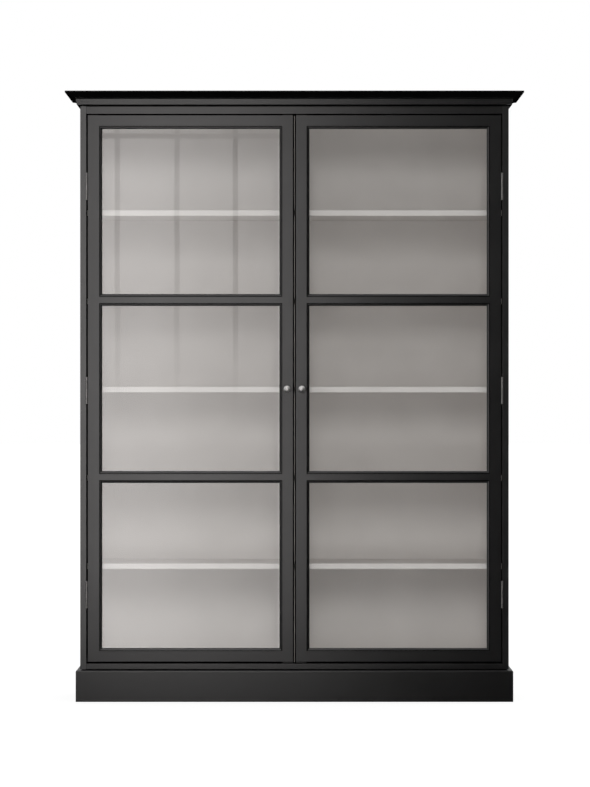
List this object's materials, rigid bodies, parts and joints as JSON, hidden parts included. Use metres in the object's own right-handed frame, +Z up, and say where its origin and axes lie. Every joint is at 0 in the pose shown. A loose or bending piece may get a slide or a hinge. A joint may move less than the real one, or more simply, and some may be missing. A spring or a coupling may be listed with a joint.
{
  "type": "glazed bookcase",
  "caption": "Tall free-standing bookcase with hinged glass doors, loose shelves, a moulded crown and a plinth, painted black outside and pale inside.",
  "frame": {"origin": "on the floor, under the middle of the bounding box", "axes": "+Z up, -Y out of the front towards the user, +X to the right seen from the front"},
  "size_m": [1.613, 0.431, 2.15],
  "materials": {
    "black_paint": "satin black paint on wood",
    "pale_paint": "satin pale warm grey paint on wood",
    "bare_wood": "bare softwood",
    "glass": "clear float glass",
    "bright_metal": "satin nickel plate",
    "dark_metal": "blackened steel",
    "catch_plastic": "matt moulded plastic",
    "magnet": "dark ferrite"
  },
  "bodies": {
    "carcass": {"back_panel": "pale_paint", "bottom_panel": "black_paint", "catch_housings": "catch_plastic", "catch_magnets": "magnet", "crown_back": "black_paint", "crown_front": "black_paint", "crown_left": "black_paint", "crown_right": "black_paint", "frame_hinge_screws": "dark_metal", "hinge_pins": "dark_metal", "left_frame_hinge_leaves": "dark_metal", "left_side": "black_paint", "plinth_back": "black_paint", "plinth_corner_blocks": "bare_wood", "plinth_front": "black_paint", "plinth_left": "black_paint", "plinth_right": "black_paint", "right_frame_hinge_leaves": "dark_metal", "right_side": "black_paint", "shelf_1": "pale_paint", "shelf_2": "pale_paint", "shelf_3": "pale_paint", "shelf_4": "pale_paint", "shelf_5": "pale_paint", "shelf_pegs": "bright_metal", "top_panel": "black_paint"},
    "left_door": {"left_door_bottom_rail": "black_paint", "left_door_glass_bottom": "glass", "left_door_glass_middle": "glass", "left_door_glass_top": "glass", "left_door_glazing_beads": "black_paint", "left_door_hinge_leaves": "dark_metal", "left_door_hinge_screws": "dark_metal", "left_door_hinge_stile": "black_paint", "left_door_knob": "bright_metal", "left_door_knob_screw": "bright_metal", "left_door_lower_rail": "black_paint", "left_door_meeting_stile": "black_paint", "left_door_strike_plates": "bright_metal", "left_door_top_rail": "black_paint", "left_door_upper_rail": "black_paint"},
    "right_door": {"right_door_bottom_rail": "black_paint", "right_door_glass_bottom": "glass", "right_door_glass_middle": "glass", "right_door_glass_top": "glass", "right_door_glazing_beads": "black_paint", "right_door_hinge_leaves": "dark_metal", "right_door_hinge_screws": "dark_metal", "right_door_hinge_stile": "black_paint", "right_door_knob": "bright_metal", "right_door_knob_screw": "bright_metal", "right_door_lower_rail": "black_paint", "right_door_meeting_stile": "black_paint", "right_door_strike_plates": "bright_metal", "right_door_top_rail": "black_paint", "right_door_upper_rail": "black_paint"}
  },
  "joints": [
    {"name": "left_door_swing", "type": "hinge", "parent": "carcass", "child": "left_door", "pos_m": [-0.7325, -0.1688, 1.104], "axis": [0, 0, -1], "range_deg": [0, 170]},
    {"name": "right_door_swing", "type": "hinge", "parent": "carcass", "child": "right_door", "pos_m": [0.7325, -0.1688, 1.104], "axis": [0, 0, 1], "range_deg": [0, 170]}
  ]
}
